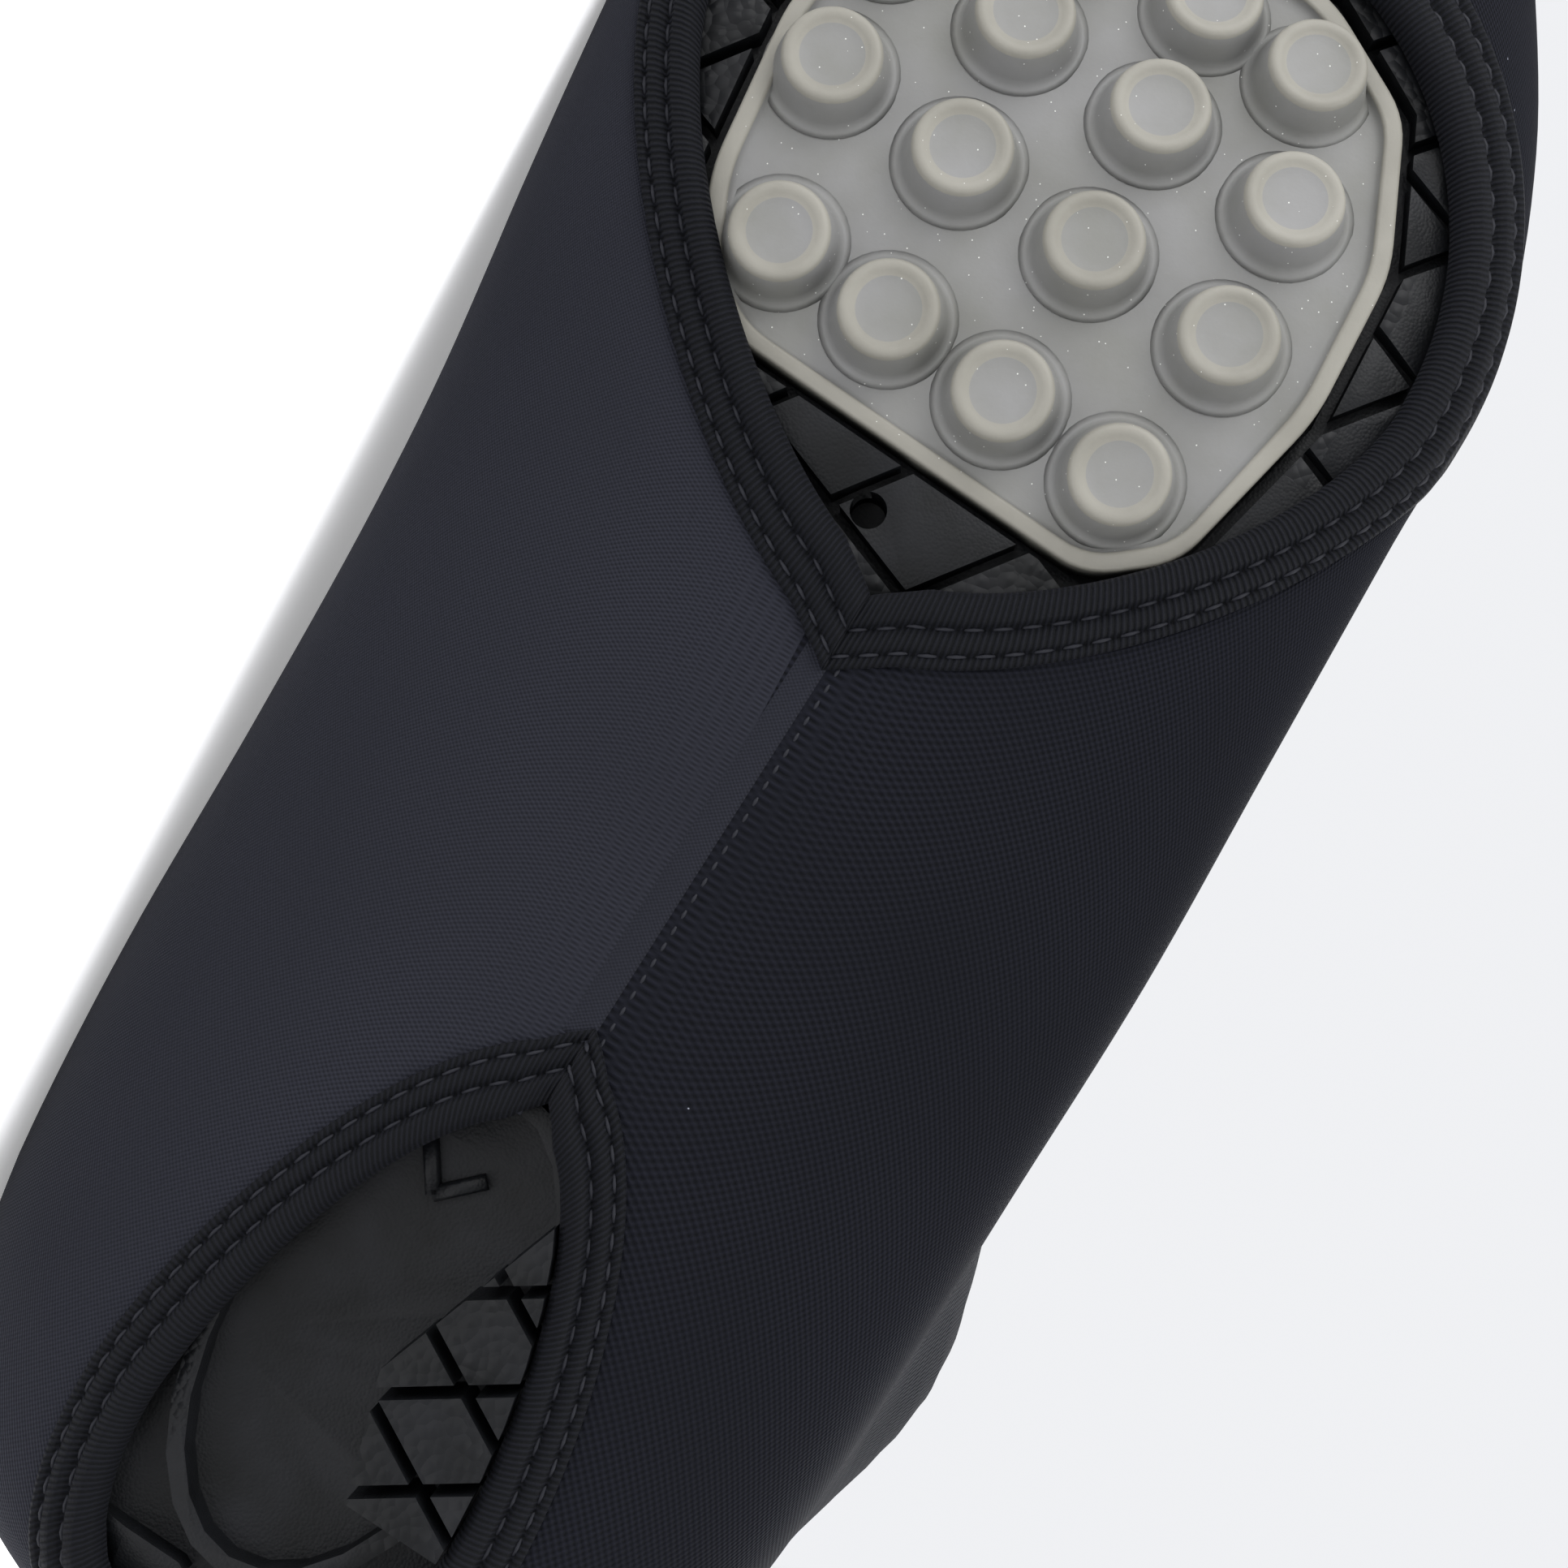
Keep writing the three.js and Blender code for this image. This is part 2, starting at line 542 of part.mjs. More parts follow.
const worn = new THREE.Group();
worn.add(mesh("upper", upper(), fabric));
worn.add(mesh("forefoot_binding", openingTape(FOREFOOT_DROP), tape));
worn.add(mesh("heel_binding", openingTape(HEEL_DROP), tape));
worn.add(mesh("collar_binding", collarTape(), tape));
worn.add(mesh("outsole", outsole(), blackRubber));
worn.add(mesh("grip_pad", gripPad(), greyRubber));
worn.add(mesh("insole", insole(), blackFoam));

// Lay the shoe on its inner side, toe towards minus X, sole towards minus Y, then set the origin
// at the middle of the box it fills, on the ground.
const corners = [];
for (const part of worn.children) {
  const { array } = part.geometry.getAttribute("position");
  for (let k = 0; k < array.length; k += 3) corners.push(new THREE.Vector3().fromArray(array, k));
}
const turned = new THREE.Quaternion().setFromEuler(new THREE.Euler(-Math.PI / 2, 0, Math.PI));
const normal = restPlane(corners).normal.clone().applyQuaternion(turned);
const level = new THREE.Quaternion().setFromUnitVectors(normal, new THREE.Vector3(0, 0, 1));
worn.quaternion.copy(level.multiply(turned));
const lying = new THREE.Box3().setFromPoints(corners.map((point) => point.clone().applyQuaternion(worn.quaternion)));
const middle = lying.getCenter(new THREE.Vector3());
worn.position.set(-middle.x, -middle.y, -lying.min.z);

const group = new THREE.Group();
group.add(worn);

export default group;
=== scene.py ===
import bpy
import bmesh
import math
from mathutils import Matrix, Quaternion, Vector
from mathutils.bvhtree import BVHTree


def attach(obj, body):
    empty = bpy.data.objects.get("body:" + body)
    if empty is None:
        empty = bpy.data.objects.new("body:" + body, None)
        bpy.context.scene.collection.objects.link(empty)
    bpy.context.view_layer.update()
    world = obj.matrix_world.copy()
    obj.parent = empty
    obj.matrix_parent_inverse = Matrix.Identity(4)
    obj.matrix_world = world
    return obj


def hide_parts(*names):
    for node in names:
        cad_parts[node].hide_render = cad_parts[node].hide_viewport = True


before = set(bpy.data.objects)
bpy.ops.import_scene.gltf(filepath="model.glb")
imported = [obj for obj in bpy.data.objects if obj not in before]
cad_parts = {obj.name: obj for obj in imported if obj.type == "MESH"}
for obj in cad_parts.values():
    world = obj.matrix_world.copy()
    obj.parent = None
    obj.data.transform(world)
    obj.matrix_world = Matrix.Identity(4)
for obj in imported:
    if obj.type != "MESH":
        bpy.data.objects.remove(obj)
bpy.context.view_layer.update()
bpy.ops.object.select_all(action="DESELECT")

# Upper: stretch-knit sleeve, 1.6 mm thick, sewn from a fine inner panel and a coarser birdseye
# outer panel. It is modelled over the worn shoe in millimetres, x from heel to toe, y to the
# outer side and z up from the tread, and LAID puts each point on the lying shoe.
LENGTH, BALL_WIDTH, COLLAR_HEIGHT = 290.0, 106.0, 168.0
FABRIC_LIFT, WALL = 1.6, 1.6
CLOSURE_BULGE, BULGE_X, BULGE_Z, BULGE_LONG, BULGE_HIGH = 9.0, 0.24, 0.33, 0.085, 0.11
SPRING_SLOPE, SPRING_BEND = 0.24, 48.0
LAID = Matrix.Translation((145.9202, -83.85, 41.6927)) @ Quaternion(
    (-0.026843, 0.026843, 0.697477, 0.715601)).to_matrix().to_4x4()
COLUMNS = ("top_x", "top_z", "sole_x", "lift", "inner", "outer", "widest", "flat", "crown")
SECTIONS = [
    (1.0, 0.218, 1.0, 0.05, 0.235, -0.215, 0.5, 2.2, 2.0),
    (0.995, 0.254, 0.9965, 0.045, 0.3, -0.16, 0.46, 2.4, 2.0),
    (0.979, 0.288, 0.9845, 0.016, 0.36, -0.088, 0.4, 2.8, 2.0),
    (0.945, 0.32, 0.952, 0.003, 0.428, 0.012, 0.3, 3.2, 2.05),
    (0.893, 0.35, 0.897, 0.0, 0.474, 0.108, 0.24, 3.5, 2.1),
    (0.828, 0.384, 0.828, 0.0, 0.512, 0.226, 0.19, 3.8, 2.1),
    (0.759, 0.42, 0.755, 0.0, 0.535, 0.338, 0.16, 4.0, 2.1),
    (0.69, 0.464, 0.679, 0.0, 0.54, 0.408, 0.14, 4.0, 2.05),
    (0.621, 0.515, 0.6, 0.0, 0.513, 0.415, 0.12, 4.0, 2.0),
    (0.555, 0.577, 0.51, 0.0, 0.475, 0.428, 0.12, 3.8, 2.0),
    (0.5, 0.649, 0.417, 0.0, 0.451, 0.442, 0.12, 3.6, 2.05),
    (0.459, 0.726, 0.324, 0.0, 0.443, 0.445, 0.13, 3.4, 2.1),
    (0.434, 0.798, 0.22, 0.0, 0.443, 0.449, 0.16, 3.3, 2.15),
    (0.421, 0.857, 0.116, 0.0, 0.441, 0.45, 0.23, 3.1, 2.2),
    (0.415, 0.896, 0.034, 0.03, 0.438, 0.447, 0.33, 2.7, 2.2),
    (0.412, 0.923, 0.004, 0.17, 0.433, 0.445, 0.44, 2.4, 2.2),
    (0.41, 0.944, 0.016, 0.36, 0.415, 0.43, 0.46, 2.3, 2.2),
    (0.408, 0.963, 0.05, 0.56, 0.392, 0.405, 0.48, 2.2, 2.2),
    (0.407, 0.982, 0.07, 0.77, 0.374, 0.384, 0.5, 2.2, 2.2),
    (0.406, 1.0, 0.074, 0.975, 0.368, 0.377, 0.5, 2.2, 2.2),
]
LAST = len(SECTIONS) - 1


def clamp(value, low=0.0, high=1.0):
    """The value kept between two limits."""
    return min(max(value, low), high)


def column(name, at):
    """The Catmull-Rom value of one column of the sections at a running row number."""
    row = min(int(at), LAST - 1)
    t = at - row
    index = COLUMNS.index(name)
    a, b, c, d = (SECTIONS[int(clamp(row + k, 0, LAST))][index] for k in (-1, 0, 1, 2))
    return b + 0.5 * t * (c - a + t * (2 * a - 5 * b + 4 * c - d + t * (3 * (b - c) + d - a)))


def tread(x):
    """Height of the tread line above the ground at x."""
    past = max(x - 0.55 * LENGTH, 0.0)
    bent = min(past, SPRING_BEND)
    return SPRING_SLOPE * (bent ** 2 / (2 * SPRING_BEND) + past - bent)


def bulge(x, z):
    """How far the closure under the fabric pushes the outer side out."""
    along = (x / LENGTH - BULGE_X) / BULGE_LONG
    up = (z / COLLAR_HEIGHT - BULGE_Z) / BULGE_HIGH
    return CLOSURE_BULGE * math.exp(-along * along - up * up)


def centre_lines(at):
    """The points of the top and the sole line at a running row number, as (x, z)."""
    sole_x = column("sole_x", at) * LENGTH
    top = Vector((column("top_x", at) * LENGTH, column("top_z", at) * COLLAR_HEIGHT))
    lift = max(column("lift", at), 0.0) * COLLAR_HEIGHT
    return top, Vector((sole_x, tread(sole_x) + FABRIC_LIFT + lift))


def ring(at, count):
    """One closed ring of the worn form."""
    top, sole = centre_lines(at)
    inner, outer = column("inner", at) * BALL_WIDTH, column("outer", at) * BALL_WIDTH
    widest = column("widest", at)
    middle, half = (outer - inner) / 2, (outer + inner) / 2
    points = []
    for k in range(count):
        turn = 2 * math.pi * k / count
        side, rise = math.cos(turn), math.sin(turn)
        power = 2 / column("flat" if rise < 0 else "crown", at)
        reach = widest if rise < 0 else 1 - widest
        level = widest + math.copysign(reach * abs(rise) ** power, rise)
        place = sole.lerp(top, level)
        swell = max(side, 0.0) * bulge(place.x, place.y)
        y = middle + math.copysign(half * abs(side) ** power, side) + swell
        points.append(Vector((place.x, y, place.y)))
    return points


def piece(name, points, faces):
    """A mesh object of worn-frame points in millimetres, laid down and in metres."""
    mesh = bpy.data.meshes.new(name)
    mesh.from_pydata([(LAID @ Vector(p)) * 0.001 for p in points], [], faces)
    mesh.validate()
    made = bpy.data.objects.new(name, mesh)
    bpy.context.collection.objects.link(made)
    return made


def hex_colour(text):
    """An sRGB hex colour as linear values."""
    parts = [int(text[k:k + 2], 16) / 255 for k in (0, 2, 4)]
    return [p / 12.92 if p <= 0.04045 else ((p + 0.055) / 1.055) ** 2.4 for p in parts] + [1.0]


def new_material(name, colour, roughness):
    """A material with its Principled shader set to one colour and roughness."""
    material = bpy.data.materials.new(name)
    material.use_nodes = True
    shader = material.node_tree.nodes["Principled BSDF"]
    shader.inputs["Base Color"].default_value = hex_colour(colour)
    shader.inputs["Roughness"].default_value = roughness
    return material, shader


def node(material, kind, links=(), **settings):
    """Adds one node: settings by attribute or input name, links as (input, source socket)."""
    made = material.node_tree.nodes.new(kind)
    for key, value in settings.items():
        if key in made.bl_rna.properties:
            setattr(made, key, value)
        else:
            made.inputs[key.replace("_", " ")].default_value = value
    for socket, source in links:
        material.node_tree.links.new(source, made.inputs[socket])
    return made


# Points round each ring, and rings to each row of the sections.
AROUND, ALONG = 168, 8
rings = [ring(k / ALONG, AROUND) for k in range(LAST * ALONG + 1)]

# Creases in the fabric: from, to, half width and height, a trough where the height is negative.
CREASES = [
    ((172, -50, 8), (128, -24, 2), 5.0, -0.5), ((166, -54, 12), (118, -36, 3), 6.0, 0.5),
    ((150, -50, 10), (104, -32, 3), 5.0, -0.4), ((92, 30, 3), (60, 44, 20), 5.0, 0.6),
    ((122, -40, 96), (140, 0, 117), 6.0, -1.8), ((140, 0, 117), (122, 40, 96), 6.0, -1.6),
    ((110, -42, 104), (132, 0, 126), 6.0, 1.2), ((132, 0, 126), (112, 40, 104), 6.0, 1.2),
    ((100, -40, 70), (60, -44, 58), 8.0, -1.2), ((98, 46, 74), (62, 50, 60), 8.0, -1.2),
    ((14, -30, 58), (3, 0, 62), 6.0, -1.3), ((3, 0, 62), (14, 30, 60), 6.0, -1.3),
    ((16, -32, 84), (8, 4, 90), 7.0, -1.0), ((60, -42, 108), (98, -36, 118), 7.0, 1.0),
    ((206, -46, 30), (190, 10, 62), 8.0, -0.8), ((230, -36, 34), (218, 16, 56), 7.0, 0.7),
]
CREASE_REACH, CREASE_FADE = 2.5, 0.7
for points in rings:
    centre = sum(points, Vector()) / AROUND
    for k, point in enumerate(points):
        push = 0.0
        for start, end, width, height in CREASES:
            start, end = Vector(start), Vector(end)
            share = clamp((point - start).dot(end - start) / (end - start).length_squared)
            gap = (point - start.lerp(end, share)).length
            if gap < CREASE_REACH * width:
                fade = 1 - CREASE_FADE * (2 * share - 1) ** 2
                push += height * fade * math.exp(-(gap / width) ** 2)
        if push:
            points[k] = point + (point - centre).normalized() * push

shell_points = [p for row in rings for p in row]
tip = sum(rings[0], Vector()) / AROUND
shell_faces = []
for row in range(len(rings) - 1):
    for k in range(AROUND):
        a, b = row * AROUND + k, row * AROUND + (k + 1) % AROUND
        shell_faces.append((a, a + AROUND, b + AROUND, b))
shell_points.append(tip)
for k in range(AROUND):
    shell_faces.append((len(shell_points) - 1, k, (k + 1) % AROUND))
form_tree = BVHTree.FromPolygons(shell_points, shell_faces)
BELOW, NEAR_SOLE = -40.0, 8.0


def underside(x, y):
    """The point of the fabric's underside straight above a place on the ground, and its normal."""
    hit, normal, _, _ = form_tree.ray_cast(Vector((x, y, BELOW)), Vector((0, 0, 1)))
    if hit is None:
        hit, normal, _, _ = form_tree.find_nearest(Vector((x, y, tread(x) + NEAR_SOLE)))
    return hit, -normal if normal.z > 0 else normal


def settle(made, materials, replaced=None):
    """Turns a closed piece's faces outward and smooth, and gives it its materials and its place."""
    work = bmesh.new()
    work.from_mesh(made.data)
    bmesh.ops.recalc_face_normals(work, faces=work.faces)
    for face in work.faces:
        face.smooth = True
    work.to_mesh(made.data)
    work.free()
    for material in materials:
        made.data.materials.append(material)
    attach(made, "root")
    if replaced:
        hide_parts(replaced)


# A thread capsule's rings as (share of its length, share of its radius); its ends dip into the cloth.
CAPSULE = ((-0.5, 0.35), (-0.38, 0.85), (0.0, 1.0), (0.38, 0.85), (0.5, 0.35))
CAPSULE_SIDES, CAPSULE_DIP = 6, 0.35


def stitches(name, path, pitch, length, radius):
    """A row of lockstitches: one thread capsule at every pitch along a path of (point, normal)."""
    points, faces = [], []
    travel = 0.0
    wanted = pitch / 2
    for (here, normal), (ahead, _) in zip(path, path[1:]):
        step = (ahead - here).length
        while step > 0 and wanted <= travel + step:
            spot = here.lerp(ahead, (wanted - travel) / step)
            along = (ahead - here).normalized()
            side = along.cross(normal).normalized()
            rise = side.cross(along)
            first = len(points)
            for share, size in CAPSULE:
                centre = spot + along * length * share - rise * CAPSULE_DIP * (2 * share) ** 2
                for turn in range(CAPSULE_SIDES):
                    angle = 2 * math.pi * turn / CAPSULE_SIDES
                    spoke = side * math.cos(angle) + rise * math.sin(angle)
                    points.append(centre + spoke * radius * size)
            for row in range(len(CAPSULE) - 1):
                for turn in range(CAPSULE_SIDES):
                    a = first + row * CAPSULE_SIDES + turn
                    b = first + row * CAPSULE_SIDES + (turn + 1) % CAPSULE_SIDES
                    faces.append((a, b, b + CAPSULE_SIDES, a + CAPSULE_SIDES))
            faces.append(tuple(range(first, first + CAPSULE_SIDES)))
            faces.append(tuple(range(len(points) - CAPSULE_SIDES, len(points))))
            wanted += pitch
        travel += step
    return piece(name, points, faces)


# The drop's point is drawn out into a corner by this much over this share of its width.
CORNER_DRAW, CORNER_SHARE = 2.4, 0.22


def drop(tip, middle, length, width, point, blunt, way, end_grow, side_grow, count):
    """The drop-shaped outline of an opening, grown at its ends and sides."""
    outline = []
    behind = abs(middle[0] - tip[0])
    for k in range(count):
        turn = 2 * math.pi * k / count
        along, across = math.cos(turn), math.sin(turn)
        power = 2 / (point if along < 0 else blunt)
        reach = (behind if along < 0 else length - behind) + end_grow
        far = math.copysign(reach * abs(along) ** power, along)
        lean = abs(along) ** power * (tip[1] - middle[1]) if along < 0 else 0.0
        half = math.copysign((width / 2 + side_grow) * abs(across) ** power, across)
        if along < 0:
            far -= CORNER_DRAW * max(0.0, 1 - abs(across) / CORNER_SHARE)
        outline.append((middle[0] + way * far, middle[1] + lean + way * half))
    return outline


FOREFOOT_LENGTH, FOREFOOT_WIDTH, HEEL_LENGTH, HEEL_WIDTH = 84.0, 84.0, 68.0, 35.0
FOREFOOT_DROP = dict(tip=(0.493 * LENGTH, 0.02 * BALL_WIDTH),
                     middle=(0.493 * LENGTH + 0.512 * FOREFOOT_LENGTH, -0.038 * BALL_WIDTH),
                     length=FOREFOOT_LENGTH, width=FOREFOOT_WIDTH, point=1.45, blunt=2.0, way=1)
HEEL_DROP = dict(tip=(0.276 * LENGTH, 0.019 * BALL_WIDTH),
                 middle=(0.276 * LENGTH - 0.655 * HEEL_LENGTH, 0.005 * BALL_WIDTH),
                 length=HEEL_LENGTH, width=HEEL_WIDTH, point=1.7, blunt=2.4, way=-1)


def inside(outline, x, y):
    """Whether a place on the ground lies within an outline."""
    crossings = 0
    for (ax, ay), (bx, by) in zip(outline, outline[1:] + outline[:1]):
        if (ay > y) != (by > y) and x < (bx - ax) * (y - ay) / (by - ay) + ax:
            crossings += 1
    return crossings % 2 == 1


# The fabric is cut back under the tape, and only where it is this near to the tread.
CUT_BACK, CUT_HEIGHT, DROP_POINTS = 2.5, 16.0, 80
cut_lines = [drop(**form, end_grow=CUT_BACK, side_grow=CUT_BACK, count=DROP_POINTS)
             for form in (FOREFOOT_DROP, HEEL_DROP)]
kept = []
for face in shell_faces:
    middle = sum((shell_points[k] for k in face), Vector()) / len(face)
    low = middle.z < tread(middle.x) + CUT_HEIGHT
    if not (low and any(inside(line, middle.x, middle.y) for line in cut_lines)):
        kept.append(face)
upper = piece("upper_shell", shell_points, kept)


SEAM_Y, SEAM_DRIFT = 0.0195 * BALL_WIDTH, 0.1


def seam_y(x):
    """The middle seam's line across the underside, from one opening's point to the other's."""
    share = (x - HEEL_DROP["tip"][0]) / (FOREFOOT_DROP["tip"][0] - HEEL_DROP["tip"][0])
    return SEAM_Y + SEAM_DRIFT * share


# The knit's own map runs round the foot, taken as 260 mm, and along it in real millimetres.
FOOT_GIRTH = 260.0
uv = upper.data.uv_layers.new(name="knit")
row_length = [0.0]
for a, b in zip(rings, rings[1:]):
    row_length.append(row_length[-1] + sum((p - q).length for p, q in zip(a, b)) / AROUND)
for polygon in upper.data.polygons:
    low_k = min(upper.data.loops[i].vertex_index % AROUND for i in polygon.loop_indices)
    for i in polygon.loop_indices:
        index = upper.data.loops[i].vertex_index
        row, k = divmod(min(index, len(rings) * AROUND - 1), AROUND)
        if k - low_k > AROUND / 2:
            k -= AROUND
        uv.data[i].uv = (k / AROUND * FOOT_GIRTH, row_length[row])


def knit(name, colour, dark, pitch, relief, roughness, sheen):
    """Knitted stretch polyester: dull, with a soft sheen at grazing angles and small even loops."""
    material, shader = new_material(name, colour, roughness)
    place = node(material, "ShaderNodeUVMap", uv_map="knit")
    split = node(material, "ShaderNodeSeparateXYZ", [("Vector", place.outputs["UV"])])
    waves = []
    for axis, step in (("X", pitch), ("Y", pitch * 0.8)):
        angle = node(material, "ShaderNodeMath", [(0, split.outputs[axis])], operation="MULTIPLY")
        angle.inputs[1].default_value = 2 * math.pi / step
        waves.append(node(material, "ShaderNodeMath", [(0, angle.outputs[0])], operation="SINE"))
    loops = node(material, "ShaderNodeMath", [(0, waves[0].outputs[0]), (1, waves[1].outputs[0])],
                 operation="MULTIPLY")
    fuzz = node(material, "ShaderNodeTexNoise", [("Vector", place.outputs["UV"])],
                Scale=3.0, Detail=3.0)
    cloud = node(material, "ShaderNodeTexNoise", [("Vector", place.outputs["UV"])],
                 Scale=0.03, Detail=2.0)
    height = node(material, "ShaderNodeMath", [(0, loops.outputs[0]), (1, fuzz.outputs["Fac"])],
                  operation="ADD")
    mixed = node(material, "ShaderNodeMath", [(0, height.outputs[0]), (1, cloud.outputs["Fac"])],
                 operation="MULTIPLY_ADD")
    mixed.inputs[2].default_value = 0.3
    ramp = node(material, "ShaderNodeValToRGB", [("Fac", mixed.outputs[0])])
    ramp.color_ramp.elements[0].color = hex_colour(dark)
    ramp.color_ramp.elements[1].color = hex_colour(colour)
    lint = node(material, "ShaderNodeTexVoronoi", [("Vector", place.outputs["UV"])], Scale=0.09)
    speck = node(material, "ShaderNodeMath", [(0, lint.outputs["Distance"])], operation="LESS_THAN")
    speck.inputs[1].default_value = 0.012
    specked = node(material, "ShaderNodeMix", [("Factor", speck.outputs[0])], data_type="RGBA")
    material.node_tree.links.new(ramp.outputs["Color"], specked.inputs[6])
    specked.inputs[7].default_value = hex_colour("6c6f78")
    material.node_tree.links.new(specked.outputs[2], shader.inputs["Base Color"])
    bump = node(material, "ShaderNodeBump", [("Height", height.outputs[0])],
                Strength=0.5, Distance=relief * 0.001)
    material.node_tree.links.new(bump.outputs["Normal"], shader.inputs["Normal"])
    shader.inputs["Sheen Weight"].default_value = sheen
    shader.inputs["Sheen Roughness"].default_value = 0.45
    shader.inputs["Sheen Tint"].default_value = hex_colour("c4c6d2")
    shader.inputs["Specular IOR Level"].default_value = 0.08
    return material


upper.data.materials.append(knit("fine_jersey_knit", "212229", "131419", 0.55, 0.14, 0.85, 0.06))
upper.data.materials.append(knit("birdseye_knit", "12131a", "040508", 0.95, 0.3, 0.85, 0.02))
for polygon in upper.data.polygons:
    middle = sum((shell_points[k] for k in polygon.vertices), Vector()) / len(polygon.vertices)
    spots = [k % AROUND for k in polygon.vertices if k < len(rings) * AROUND]
    over = max(spots) <= AROUND / 2
    outer = max(spots) <= AROUND / 4 if over else middle.y > seam_y(middle.x)
    polygon.material_index = 1 if outer else 0
upper.data.polygons.foreach_set("use_smooth", [True] * len(upper.data.polygons))
wall = upper.modifiers.new("wall", "SOLIDIFY")
wall.thickness = WALL * 0.001
wall.offset = -1.0
bpy.context.view_layer.objects.active = upper
bpy.ops.object.modifier_apply(modifier="wall")
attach(upper, "root")
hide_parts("upper")

# Middle seam: the two panels' edges joined in a lip turned to the outer side and held down by
# one row of short lockstitches in black thread.
thread, thread_shader = new_material("black_polyester_thread", "16171d", 0.6)
thread_shader.inputs["Specular IOR Level"].default_value = 0.2
thread_place = node(thread, "ShaderNodeTexCoord")
thread_noise = node(thread, "ShaderNodeTexNoise", [("Vector", thread_place.outputs["Object"])],
                    Scale=900.0, Detail=2.0)
thread_bump = node(thread, "ShaderNodeBump", [("Height", thread_noise.outputs["Fac"])],
                   Strength=0.4, Distance=0.0001)
thread.node_tree.links.new(thread_bump.outputs["Normal"], thread_shader.inputs["Normal"])
SEAM_PROFILE = [
    (-3.4, -0.5), (-3.0, -0.02), (-1.6, 0.14), (-0.5, 0.3), (0.0, 0.3), (0.25, 0.0), (0.25, -0.5),
]
SEAM_STEPS, SEAM_INSET, SEAM_STITCH_Y, SEAM_STITCH_RISE = 60, 8.5, 1.3, 0.05
seam_start, seam_end = HEEL_DROP["tip"][0] + SEAM_INSET, FOREFOOT_DROP["tip"][0] - SEAM_INSET
seam_rows, seam_path = [], []
for k in range(SEAM_STEPS + 1):
    x = seam_start + (seam_end - seam_start) * k / SEAM_STEPS
    y = seam_y(x)
    _, normal = underside(x, y)
    row = []
    for across, rise in SEAM_PROFILE:
        place, _ = underside(x, y + across)
        row.append(place + normal * rise)
    seam_rows.append(row)
    place, _ = underside(x, y + SEAM_STITCH_Y)
    seam_path.append((place + normal * SEAM_STITCH_RISE, normal))
wide = len(SEAM_PROFILE)
seam_points = [p for row in seam_rows for p in row]
seam_faces = []
for row in range(SEAM_STEPS):
    for k in range(wide):
        a, b = row * wide + k, row * wide + (k + 1) % wide
        seam_faces.append((a, b, b + wide, a + wide))
seam_faces += [tuple(range(wide)), tuple(range(len(seam_points) - wide, len(seam_points)))]
seam = piece("middle_seam", seam_points, seam_faces)
seam_uv = seam.data.uv_layers.new(name="knit")
for loop in seam.data.loops:
    row, k = divmod(loop.vertex_index, wide)
    seam_uv.data[loop.index].uv = (SEAM_PROFILE[k][0], row * (seam_end - seam_start) / SEAM_STEPS)
settle(seam, [upper.data.materials[0]])
seam_stitches = stitches("middle_seam_stitches", seam_path, pitch=1.9, length=1.3, radius=0.2)
settle(seam_stitches, [thread])

# Openings' binding: ribbed elastic tape folded over the raw edge in three flat plies and held by
# two rows of lockstitch, its ends meeting in a mitre at the point of each opening.
TAPE_PROFILE = [
    (-0.9, -1.4), (-0.9, -0.4), (-0.5, 0.6), (0.2, 1.3), (1.4, 1.6), (2.7, 1.4), (3.15, 0.7), (3.5, 0.35),
    (3.85, 0.8), (4.8, 1.15), (5.9, 0.95), (6.25, 0.45), (6.6, 0.2), (6.9, 0.6), (7.5, 0.7), (7.95, 0.45),
    (8.05, -0.1), (6.2, -1.5), (5.8, -1.8), (-0.4, -1.85),
]
STITCH_ROWS = ((3.45, 0.55), (6.5, 0.42))
TAPE_STITCH = dict(pitch=2.9, length=2.2, radius=0.27)
TAPE_TIP_WIDTH, TAPE_WIDTH, TAPE_POINTS, RIB_PITCH = 8.0, 6.3, 360, 0.62
# One end laps over the other at the point, by this much and over this many points of the line.
LAP_RISE, LAP_POINTS = 0.7, 9.0


def tape_material():
    """Ribbed elastic tape: dull dark nylon with fine ribs across it, one rib every 0.62 mm."""
    material, shader = new_material("ribbed_nylon_tape", "101218", 0.7)
    place = node(material, "ShaderNodeUVMap", uv_map="tape")
    split = node(material, "ShaderNodeSeparateXYZ", [("Vector", place.outputs["UV"])])
    angle = node(material, "ShaderNodeMath", [(0, split.outputs["X"])], operation="MULTIPLY")
    angle.inputs[1].default_value = 2 * math.pi / RIB_PITCH
    rib = node(material, "ShaderNodeMath", [(0, angle.outputs[0])], operation="SINE")
    fuzz = node(material, "ShaderNodeTexNoise", [("Vector", place.outputs["UV"])], Scale=2.2, Detail=3.0)
    height = node(material, "ShaderNodeMath", [(0, rib.outputs[0]), (1, fuzz.outputs["Fac"])],
                  operation="ADD")
    ramp = node(material, "ShaderNodeValToRGB", [("Fac", height.outputs[0])])
    ramp.color_ramp.elements[0].color = hex_colour("040507")
    ramp.color_ramp.elements[1].color = hex_colour("0e0f14")
    material.node_tree.links.new(ramp.outputs["Color"], shader.inputs["Base Color"])
    bump = node(material, "ShaderNodeBump", [("Height", height.outputs[0])],
                Strength=0.6, Distance=0.00022)
    material.node_tree.links.new(bump.outputs["Normal"], shader.inputs["Normal"])
    shader.inputs["Sheen Weight"].default_value = 0.02
    shader.inputs["Sheen Tint"].default_value = hex_colour("c4c6d2")
    shader.inputs["Specular IOR Level"].default_value = 0.08
    return material


ribbed_tape = tape_material()


